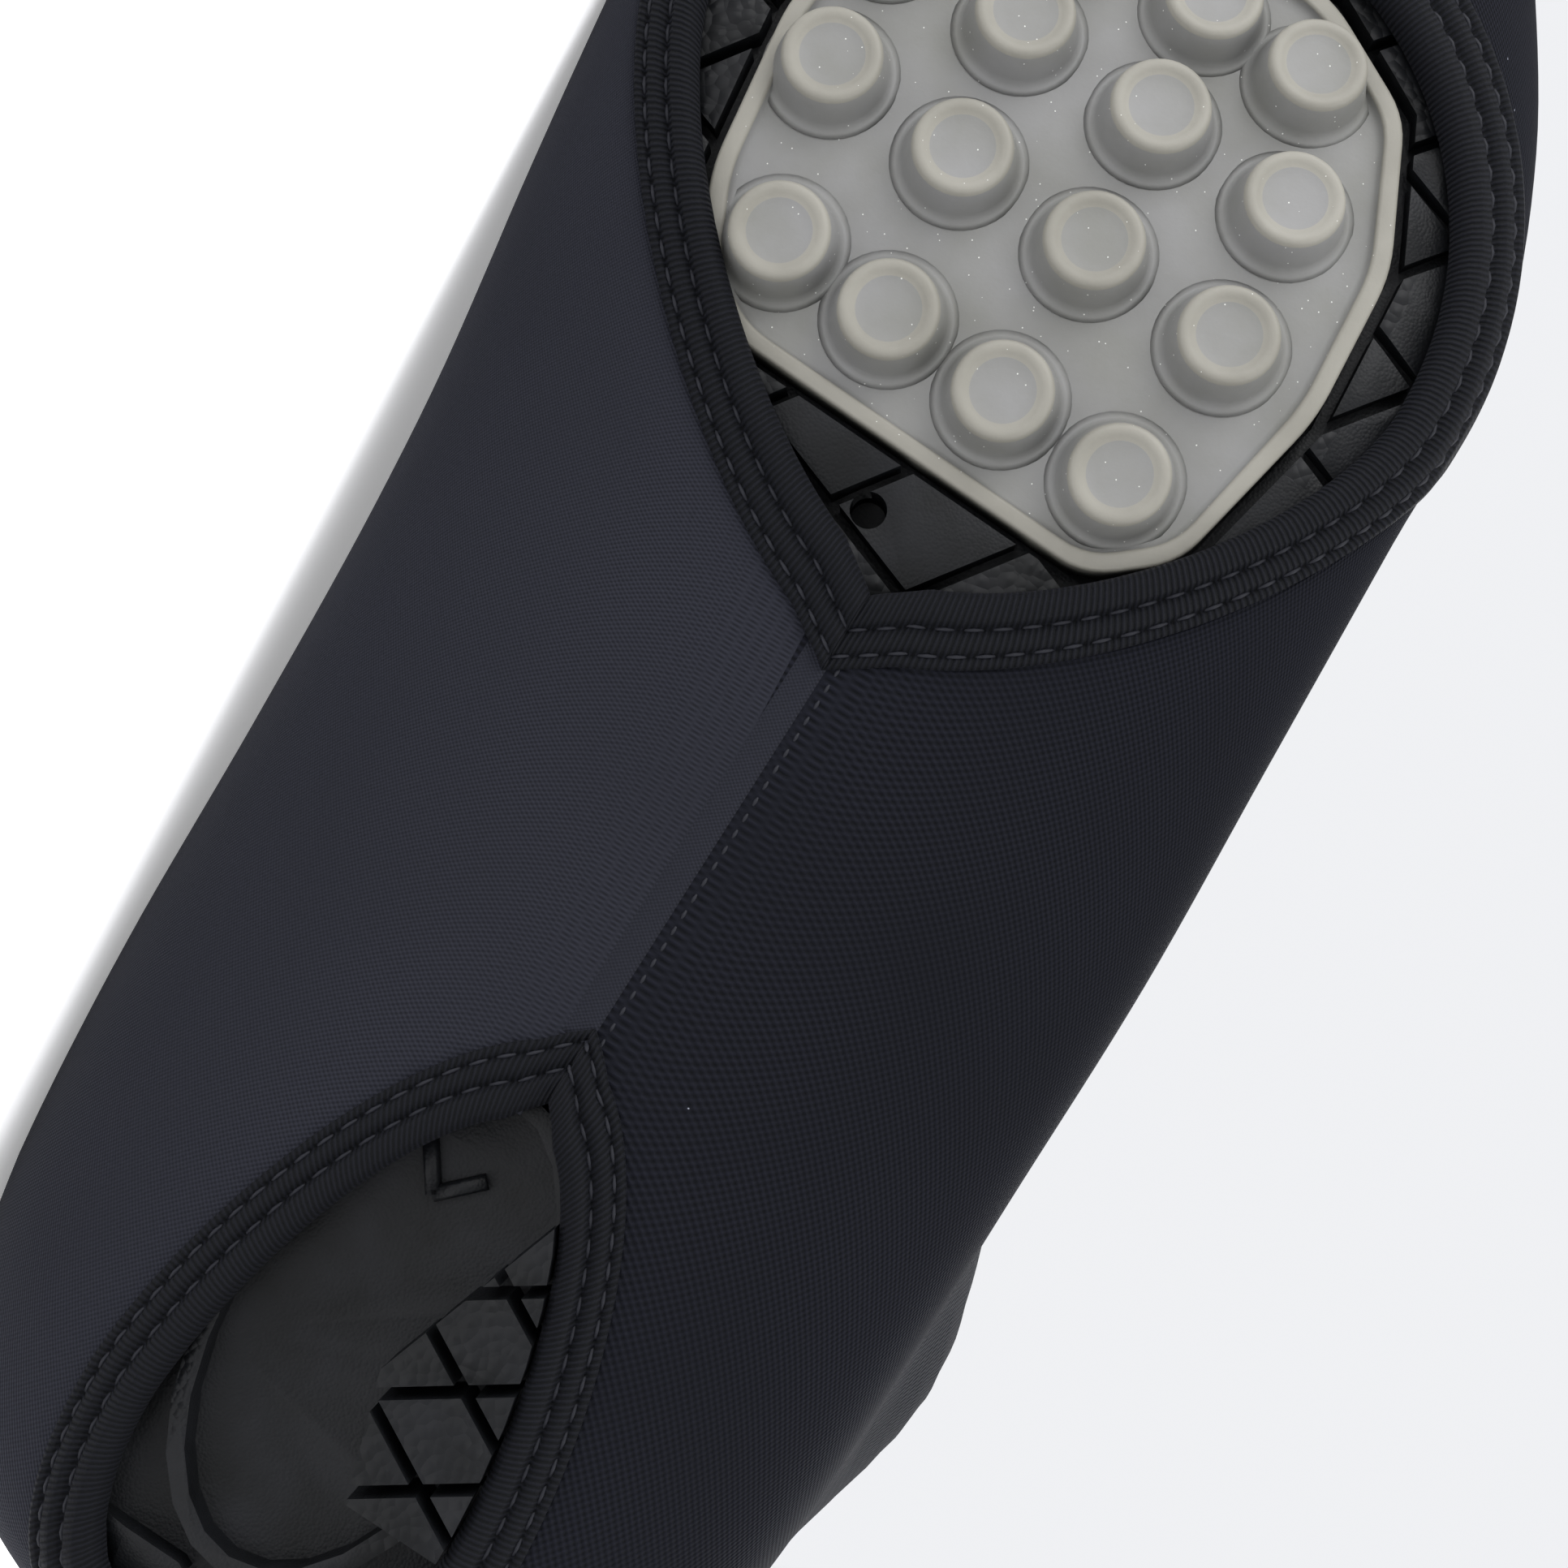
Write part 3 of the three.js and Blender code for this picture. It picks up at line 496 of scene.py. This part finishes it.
def taped_ring(name, lines, across):
    """A closed tape: its profile's lines joined to each other and round the opening, with its map."""
    count = len(lines[0])
    faces = []
    for row in range(len(lines)):
        above = (row + 1) % len(lines)
        for k in range(count):
            faces.append((row * count + k, row * count + (k + 1) % count,
                          above * count + (k + 1) % count, above * count + k))
    made = piece(name, [p for line in lines for p in line], faces)
    travel = [0.0]
    for a, b in zip(lines[4], lines[4][1:] + lines[4][:1]):
        travel.append(travel[-1] + (b - a).length)
    uv = made.data.uv_layers.new(name="tape")
    for polygon in made.data.polygons:
        places = [made.data.loops[i].vertex_index % count for i in polygon.loop_indices]
        seam_face = 0 in places and count - 1 in places
        for i, k in zip(polygon.loop_indices, places):
            row = made.data.loops[i].vertex_index // count
            uv.data[i].uv = (travel[count] if seam_face and k == 0 else travel[k], across[row])
    return made


def opening_tape(name, form, cad_node):
    """The folded tape swept round one opening over the fabric, with its two rows of stitches."""
    edge = drop(**form, end_grow=0.0, side_grow=0.0, count=TAPE_POINTS)
    outer = drop(**form, end_grow=TAPE_TIP_WIDTH, side_grow=TAPE_WIDTH, count=TAPE_POINTS)
    mitre = TAPE_POINTS // 2

    def line_at(across, rise):
        """A line along the tape at a distance from the opening's edge, raised off the fabric."""
        share = across / TAPE_TIP_WIDTH
        found = []
        for k, ((ax, ay), (bx, by)) in enumerate(zip(edge, outer)):
            hit, normal = underside(ax + (bx - ax) * share, ay + (by - ay) * share)
            lap = 0.0
            if rise > 0 and k > mitre:
                lap = LAP_RISE * math.exp(-((k - mitre - 1) / LAP_POINTS) ** 2)
            found.append((hit + normal * (rise + lap), normal))
        return found

    lines = [[point for point, _ in line_at(across, rise)] for across, rise in TAPE_PROFILE]
    made = taped_ring(name, lines, [across for across, _ in TAPE_PROFILE])
    settle(made, [ribbed_tape], cad_node)
    for number, (across, rise) in enumerate(STITCH_ROWS):
        path = line_at(across, rise)
        row = stitches(f"{name}_stitches_{number + 1}", path + path[:1], **TAPE_STITCH)
        settle(row, [thread])


opening_tape("forefoot_tape", FOREFOOT_DROP, "forefoot_binding")
opening_tape("heel_tape", HEEL_DROP, "heel_binding")

# Collar hem: the same ribbed tape, 14 mm wide, folded over the collar's raw edge and held by two
# rows of lockstitch.
HEM_PROFILE = [
    (14.0, 0.0), (13.8, 0.7), (13.0, 0.95), (9.0, 1.1), (4.0, 1.15), (1.0, 1.1), (0.2, 0.8), (-0.3, 0.0),
    (-0.3, -1.6), (0.2, -2.4), (1.0, -2.7), (9.0, -2.7), (12.6, -2.6), (13.0, -1.6),
]
HEM_STITCH_ROWS, HEM_STITCH_RISE = (3.0, 11.5), 1.1


def collar_line(down, rise):
    """A line round the leg at a distance below the collar's edge, moved out by rise."""
    found = []
    for k in range(AROUND):
        left, row = max(down, 0.0), len(rings) - 1
        while row > 1 and left > (rings[row][k] - rings[row - 1][k]).length:
            left -= (rings[row][k] - rings[row - 1][k]).length
            row -= 1
        step = rings[row - 1][k] - rings[row][k]
        place = rings[row][k] + step.normalized() * (left if down > 0 else down)
        across = rings[row][(k + 1) % AROUND] - rings[row][k - 1]
        normal = across.cross(step).normalized()
        centre = sum(rings[row], Vector()) / AROUND
        if normal.dot(place - centre) < 0:
            normal.negate()
        found.append((place + normal * rise, normal))
    return found


hem = taped_ring("collar_hem", [[p for p, _ in collar_line(*at)] for at in HEM_PROFILE],
                 [down for down, _ in HEM_PROFILE])
settle(hem, [ribbed_tape], "collar_binding")
for number, down in enumerate(HEM_STITCH_ROWS):
    path = collar_line(down, HEM_STITCH_RISE)
    row = stitches(f"collar_stitches_{number + 1}", path + path[:1], **TAPE_STITCH)
    settle(row, [thread])

# Grip pad: light grey moulded rubber, a thin plate with a raised rim and tapered round studs with
# shallow dished tops, bonded to the forefoot; pale specks of dust lie all over it.
PAD_START, PAD_WIDTH, PAD_LENGTH = 0.54 * LENGTH, 66.0, 66.0
LUG_LEVEL, RIM_RISE, PAD_THICKNESS = 3.5, 1.1, 4.5
PAD_CORNERS = [
    (0.0, -0.37), (-0.03, 0.29), (0.06, 0.4), (0.36, 0.46), (0.62, 0.44), (0.86, 0.33), (0.97, 0.14),
    (1.0, -0.12), (0.95, -0.36), (0.78, -0.53), (0.5, -0.575), (0.2, -0.53), (0.06, -0.46),
]
STUD_ROWS = [
    (165.6, (-25.0, -11.5, 2.5, 16.7)), (183.1, (-30.3, -14.1, 2.1, 18.5)),
    (198.4, (-33.2, -16.4, 0.4, 16.8)), (211.8, (-17.0, -1.4, 11.5)),
]
ROW_LEAN, STUD_ROUND, STUD_MARGIN, STUD_SINK = -0.07, 40, 3.0, 0.02
CORNER_CUT, CORNER_LIMIT, CORNER_STEPS = 3.2, 0.42, (0.0, 0.2, 0.4, 0.6, 0.8, 1.0)
STUD_PROFILE = [
    (7.2, 0.0), (6.6, 0.1), (6.2, 0.4), (5.95, 1.0), (5.5, 2.8), (5.2, 3.9), (5.05, 4.3), (4.8, 4.55),
    (4.45, 4.6), (4.05, 4.55), (3.8, 4.4), (3.35, 4.2), (2.2, 4.08), (1.0, 4.04),
]


def grey_rubber(name, light, dark, dust):
    """Matt grey rubber, a little uneven, with pale specks of dust and darker, dirty patches."""
    material, shader = new_material(name, light, 0.62)
    place = node(material, "ShaderNodeTexCoord")
    patches = node(material, "ShaderNodeTexNoise", [("Vector", place.outputs["Object"])],
                   Scale=90.0, Detail=5.0)
    ramp = node(material, "ShaderNodeValToRGB", [("Fac", patches.outputs["Fac"])])
    ramp.color_ramp.elements[0].position, ramp.color_ramp.elements[1].position = 0.3, 0.62
    ramp.color_ramp.elements[0].color = hex_colour(dark)
    ramp.color_ramp.elements[1].color = hex_colour(light)
    specks = node(material, "ShaderNodeTexVoronoi", [("Vector", place.outputs["Object"])], Scale=800.0)
    near = node(material, "ShaderNodeMath", [(0, specks.outputs["Distance"])], operation="LESS_THAN")
    near.inputs[1].default_value = dust
    mix = node(material, "ShaderNodeMix", [("Factor", near.outputs[0])], data_type="RGBA")
    material.node_tree.links.new(ramp.outputs["Color"], mix.inputs[6])
    mix.inputs[7].default_value = hex_colour("b4b4b0")
    material.node_tree.links.new(mix.outputs[2], shader.inputs["Base Color"])
    grain = node(material, "ShaderNodeTexNoise", [("Vector", place.outputs["Object"])],
                 Scale=1500.0, Detail=3.0)
    bump = node(material, "ShaderNodeBump", [("Height", grain.outputs["Fac"])],
                Strength=0.35, Distance=0.00008)
    material.node_tree.links.new(bump.outputs["Normal"], shader.inputs["Normal"])
    return material


pad_grey = grey_rubber("dusty_grey_rubber", "6a6a69", "60605c", 0.06)
pad_edge = grey_rubber("rubbed_grey_rubber", "75736b", "68665e", 0.045)


def pad_ring(grow, level, shrink=1.0):
    """The pad's outline with rounded corners, grown, at a level above the tread."""
    middle = Vector((PAD_START + 0.48 * PAD_LENGTH, 0.0))
    corners = [Vector((PAD_START + a * PAD_LENGTH, c * PAD_WIDTH)) for a, c in PAD_CORNERS]
    found = []
    for before, here, after in zip(corners[-1:] + corners[:-1], corners, corners[1:] + corners[:1]):
        back = here + (before - here) * min(CORNER_LIMIT, CORNER_CUT / (before - here).length)
        front = here + (after - here) * min(CORNER_LIMIT, CORNER_CUT / (after - here).length)
        for t in CORNER_STEPS:
            spot = back.lerp(here, t).lerp(here.lerp(front, t), t) - middle
            spot = middle + spot * (1 + grow / spot.length) * shrink
            found.append(Vector((spot.x, spot.y, tread(spot.x) + level)))
    return found


PAD_FLOOR = LUG_LEVEL + RIM_RISE
PAD_BACK = PAD_FLOOR + PAD_THICKNESS
# The rim's section, as (grow, height above the rim's face), from its outer wall to the pad's floor.
RIM_SECTION = (
    (0.0, 0.35), (-0.12, 0.08), (-0.4, 0.0), (-1.6, 0.0), (-1.9, 0.08), (-2.05, 0.35),
    (-2.25, RIM_RISE - 0.2), (-2.8, RIM_RISE),
)
FLOOR_SHARES = (0.92, 0.8, 0.68, 0.56, 0.44, 0.32, 0.2, 0.1, 0.02)
pad_rings = [pad_ring(-0.5, PAD_BACK, share) for share in (0.02, 0.5)] + [pad_ring(0.0, PAD_BACK)]
pad_rings += [pad_ring(grow, LUG_LEVEL + height) for grow, height in RIM_SECTION]
pad_rings += [pad_ring(RIM_SECTION[-1][0], PAD_FLOOR, share) for share in FLOOR_SHARES]
pad_count = len(pad_rings[0])
pad_points = [p for row in pad_rings for p in row]
# Rows of the rim and of each stud's ring that wear to the lighter grey.
RIM_ROWS, STUD_RING_ROWS = range(2, 8), range(5, 11)
pad_faces, pad_marks = [], []
for row in range(len(pad_rings) - 1):
    for k in range(pad_count):
        a, b = row * pad_count + k, row * pad_count + (k + 1) % pad_count
        pad_faces.append((a, b, b + pad_count, a + pad_count))
        pad_marks.append(1 if row in RIM_ROWS else 0)
pad_faces += [tuple(range(pad_count)), tuple(range(len(pad_points) - pad_count, len(pad_points)))]
pad_marks += [0, 0]
stud_zone = drop(**FOREFOOT_DROP, end_grow=-STUD_MARGIN, side_grow=-STUD_MARGIN, count=DROP_POINTS)
for row_x, places in STUD_ROWS:
    for y in places:
        x = row_x + ROW_LEAN * y
        if not inside(stud_zone, x, y):
            continue
        slope = (tread(x + 1) - tread(x - 1)) / 2
        down = Vector((slope, 0.0, -1.0)).normalized()
        ahead = Vector((-down.z, 0.0, down.x))
        base = Vector((x, y, tread(x) + PAD_FLOOR))
        first = len(pad_points)
        for radius, height in STUD_PROFILE:
            for turn in range(STUD_ROUND):
                angle = 2 * math.pi * turn / STUD_ROUND
                spoke = ahead * math.cos(angle) + Vector((0, math.sin(angle), 0))
                pad_points.append(base + down * (height - STUD_SINK) + spoke * radius)
        for row in range(len(STUD_PROFILE) - 1):
            for turn in range(STUD_ROUND):
                a = first + row * STUD_ROUND + turn
                b = first + row * STUD_ROUND + (turn + 1) % STUD_ROUND
                pad_faces.append((a, b, b + STUD_ROUND, a + STUD_ROUND))
                pad_marks.append(1 if row in STUD_RING_ROWS else 0)
        pad_faces.append(tuple(range(first, first + STUD_ROUND)))
        pad_faces.append(tuple(range(len(pad_points) - STUD_ROUND, len(pad_points))))
        pad_marks += [0, 0]
pad = piece("grip_pad_moulding", pad_points, pad_faces)
for polygon, mark in zip(pad.data.polygons, pad_marks):
    polygon.material_index = mark
settle(pad, [pad_grey, pad_edge], "grip_pad")

# Outsole: black moulded rubber with angular tread blocks, some of them pebbled, and in the heel a
# smooth oval inside a low ridge; its block edges are slightly rounded by the mould.
def black_rubber(name, pebble, relief):
    """Satin black rubber with a fine grain or, with a pebble size in mm, raised round pebbles."""
    material, shader = new_material(name, "0c0d10", 0.5)
    shader.inputs["Specular IOR Level"].default_value = 0.16
    place = node(material, "ShaderNodeTexCoord")
    dust = node(material, "ShaderNodeTexNoise", [("Vector", place.outputs["Object"])],
                Scale=140.0, Detail=6.0)
    ramp = node(material, "ShaderNodeValToRGB", [("Fac", dust.outputs["Fac"])])
    ramp.color_ramp.elements[0].position, ramp.color_ramp.elements[1].position = 0.35, 0.75
    ramp.color_ramp.elements[0].color = hex_colour("050607")
    ramp.color_ramp.elements[1].color = hex_colour("101114")
    material.node_tree.links.new(ramp.outputs["Color"], shader.inputs["Base Color"])
    cells = node(material, "ShaderNodeTexVoronoi", [("Vector", place.outputs["Object"])],
                 Scale=1000.0 / pebble)
    height = node(material, "ShaderNodeMath", [(0, cells.outputs["Distance"])], operation="MULTIPLY")
    height.inputs[1].default_value = -1.0
    bump = node(material, "ShaderNodeBump", [("Height", height.outputs[0])],
                Strength=0.8, Distance=relief * 0.001)
    material.node_tree.links.new(bump.outputs["Normal"], shader.inputs["Normal"])
    return material


def rounded_copy(source, name, width, materials, drill=None):
    """A copy of a plain solid with its seams merged, cut by a drill and its sharp edges rounded."""
    made = bpy.data.objects[source].copy()
    made.data = made.data.copy()
    made.name = name
    made.data.materials.clear()
    bpy.context.collection.objects.link(made)
    place = made.matrix_world.copy()
    made.parent = None
    made.data.transform(place)
    made.matrix_world = Matrix.Identity(4)
    bpy.ops.object.select_all(action="DESELECT")
    made.select_set(True)
    bpy.context.view_layer.objects.active = made
    bpy.ops.object.mode_set(mode="EDIT")
    bpy.ops.mesh.select_all(action="SELECT")
    bpy.ops.mesh.remove_doubles(threshold=0.00002)
    bpy.ops.mesh.dissolve_limited(angle_limit=math.radians(2.0))
    bpy.ops.object.mode_set(mode="OBJECT")
    if drill:
        cut = made.modifiers.new("drain_hole", "BOOLEAN")
        cut.object = drill
        cut.operation = "DIFFERENCE"
        bpy.ops.object.modifier_apply(modifier="drain_hole")
        bpy.data.objects.remove(drill)
    bevel = made.modifiers.new("mould_radius", "BEVEL")
    bevel.width = width
    bevel.segments = 2
    bevel.limit_method = "ANGLE"
    bevel.angle_limit = math.radians(35.0)
    bpy.ops.object.modifier_apply(modifier="mould_radius")
    bpy.ops.object.shade_smooth_by_angle(angle=math.radians(40.0))
    for material in materials:
        made.data.materials.append(material)
    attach(made, "root")
    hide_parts(source)
    return made


HOLE_X, HOLE_Y, HOLE_LEVEL, HOLE_RADIUS, HOLE_DEPTH = 148.8, -2.8, 5.5, 1.9, 12.0
hole = (LAID @ Vector((HOLE_X, HOLE_Y, tread(HOLE_X) + HOLE_LEVEL))) * 0.001
bpy.ops.mesh.primitive_cylinder_add(vertices=32, radius=HOLE_RADIUS * 0.001, depth=HOLE_DEPTH * 0.001,
                                    location=hole, rotation=(math.radians(90.0), 0.0, 0.0))
MOULD_RADIUS = 0.00035
outsole = rounded_copy("outsole", "treaded_outsole", MOULD_RADIUS,
                       [black_rubber("smooth_black_rubber", 0.35, 0.05),
                        black_rubber("pebbled_black_rubber", 1.3, 0.35),
                        black_rubber("knurled_black_rubber", 0.8, 0.3)], bpy.context.object)
# Where the block tops are pebbled, in slanting bands under the forefoot and at the heel's outer
# side, and where the heel's inner strip is knurled.
FOREFOOT_X, BAND_PITCH, BAND_WIDTH, BAND_SLANT = 120, 19, 11, 0.6
HEEL_X, HEEL_Y, STRIP_X, STRIP_Y, BLOCK_LEVEL, HEEL_LEVEL = 90, 2, 72, -11, 5.0, 4.5
laid_back = LAID.inverted()
facing = LAID.to_3x3() @ Vector((0, 0, -1))
for polygon in outsole.data.polygons:
    place = laid_back @ (polygon.center * 1000)
    level = place.z - tread(place.x)
    if polygon.normal.dot(facing) > 0.9 and level < BLOCK_LEVEL:
        banded = (place.x + place.y * BAND_SLANT) % BAND_PITCH < BAND_WIDTH
        forefoot = place.x > FOREFOOT_X and banded
        heel = place.x < HEEL_X and place.y > HEEL_Y and level < HEEL_LEVEL
        strip = place.x < STRIP_X and place.y < STRIP_Y
        polygon.material_index = 1 if forefoot or heel else 2 if strip else 0

# Heel lug: a small V of black rubber, moulded in one with the sole at the front of the heel's
# smooth oval, with slightly tapered sides.
LUG_LIMBS = (((71.5, -7.0), (66.5, -3.4)), ((66.5, -3.4), (70.5, 0.6)))
LUG_HALF_WIDTH, LUG_TAPER = 0.75, ((8.0, 1.25), (6.6, 1.0), (6.35, 0.6))
lug_points, lug_faces = [], []
for start, end in LUG_LIMBS:
    start, end = Vector(start), Vector(end)
    side = (end - start).normalized().orthogonal() * LUG_HALF_WIDTH
    first = len(lug_points)
    for level, grow in LUG_TAPER:
        for corner in (start - side * grow, start + side * grow, end + side * grow, end - side * grow):
            lug_points.append(Vector((corner.x, corner.y, tread(corner.x) + level)))
    for row in (0, 4):
        for k in range(4):
            a, b = first + row + k, first + row + (k + 1) % 4
            lug_faces.append((a, b, b + 4, a + 4))
    lug_faces += [tuple(range(first, first + 4)), tuple(range(first + 8, first + 12))]
lug = piece("heel_lug", lug_points, lug_faces)
settle(lug, [outsole.data.materials[0]])

# Insole: a thin foam sheet covered in black woven cloth, with soft rounded edges, laid loose on
# the outsole and seen only through the collar.
def insole_cloth():
    """Black woven cloth with a fine even weave."""
    material, shader = new_material("black_woven_cloth", "101116", 0.9)
    place = node(material, "ShaderNodeTexCoord")
    weave = node(material, "ShaderNodeTexChecker", [("Vector", place.outputs["Object"])], Scale=1600.0)
    weave.inputs["Color1"].default_value = hex_colour("16171c")
    weave.inputs["Color2"].default_value = hex_colour("0c0d10")
    material.node_tree.links.new(weave.outputs["Color"], shader.inputs["Base Color"])
    bump = node(material, "ShaderNodeBump", [("Height", weave.outputs["Fac"])],
                Strength=0.4, Distance=0.00015)
    material.node_tree.links.new(bump.outputs["Normal"], shader.inputs["Normal"])
    return material


CLOTH_RADIUS = 0.0012
rounded_copy("insole", "covered_insole", CLOTH_RADIUS, [insole_cloth()])

# Floor, light and camera: a plain white sweep, soft light from the toe side and from above,
# and the camera square to the sole, rolled so that the toe points up to the right.
FLOOR_SIZE = 6.0
bpy.ops.mesh.primitive_plane_add(size=FLOOR_SIZE)
floor = bpy.context.object
floor.name = "floor"
floor_material, floor_shader = new_material("matt_white_paper", "fdfdff", 0.9)
floor_shader.inputs["Emission Color"].default_value = hex_colour("ffffff")
floor_shader.inputs["Emission Strength"].default_value = 0.3
floor.data.materials.append(floor_material)

PHOTO_WIDTH, FOCAL_PIXELS, SENSOR_WIDTH = 1932, 2800, 36.0
AIM = Vector((121.0, 5.0, 0.0))
EYE = Vector((121.0, 19.0, -224.0))
ROLL = math.radians(57.7)
camera_data = bpy.data.cameras.new("camera")
camera_data.sensor_width = SENSOR_WIDTH
camera_data.lens = SENSOR_WIDTH * FOCAL_PIXELS / PHOTO_WIDTH
camera_data.clip_start = 0.01
camera = bpy.data.objects.new("camera", camera_data)
bpy.context.collection.objects.link(camera)
aim, eye = (LAID @ AIM) * 0.001, (LAID @ EYE) * 0.001
turn_to_world = LAID.to_3x3()
up = turn_to_world @ Vector((math.sin(ROLL), -math.cos(ROLL), 0.0))
back = (eye - aim).normalized()
right = up.cross(back).normalized()
up = back.cross(right)
camera.matrix_world = Matrix.Translation(eye) @ Matrix((right, up, back)).transposed().to_4x4()
bpy.context.scene.camera = camera


def soft_light(name, place, target, size, power):
    """A square studio panel that faces a place on the shoe."""
    data = bpy.data.lights.new(name, "AREA")
    data.size = size
    data.energy = power
    light = bpy.data.objects.new(name, data)
    bpy.context.collection.objects.link(light)
    light.location = place
    light.rotation_euler = (Vector(target) - Vector(place)).to_track_quat("-Z", "Y").to_euler()


soft_light("toe_panel", (-0.75, -0.55, 0.18), (-0.05, -0.08, 0.06), 0.7, 9.0)
soft_light("top_panel", (0.1, -0.35, 1.1), (0.0, -0.1, 0.0), 1.2, 14.0)
soft_light("back_panel", (0.3, 1.0, 0.9), (0.0, 0.0, 0.05), 1.0, 9.0)
world = bpy.data.worlds.new("studio")
world.use_nodes = True
world.node_tree.nodes["Background"].inputs["Color"].default_value = hex_colour("fbfcff")
world.node_tree.nodes["Background"].inputs["Strength"].default_value = 0.9
bpy.context.scene.world = world
bpy.context.scene.view_settings.view_transform = "Standard"
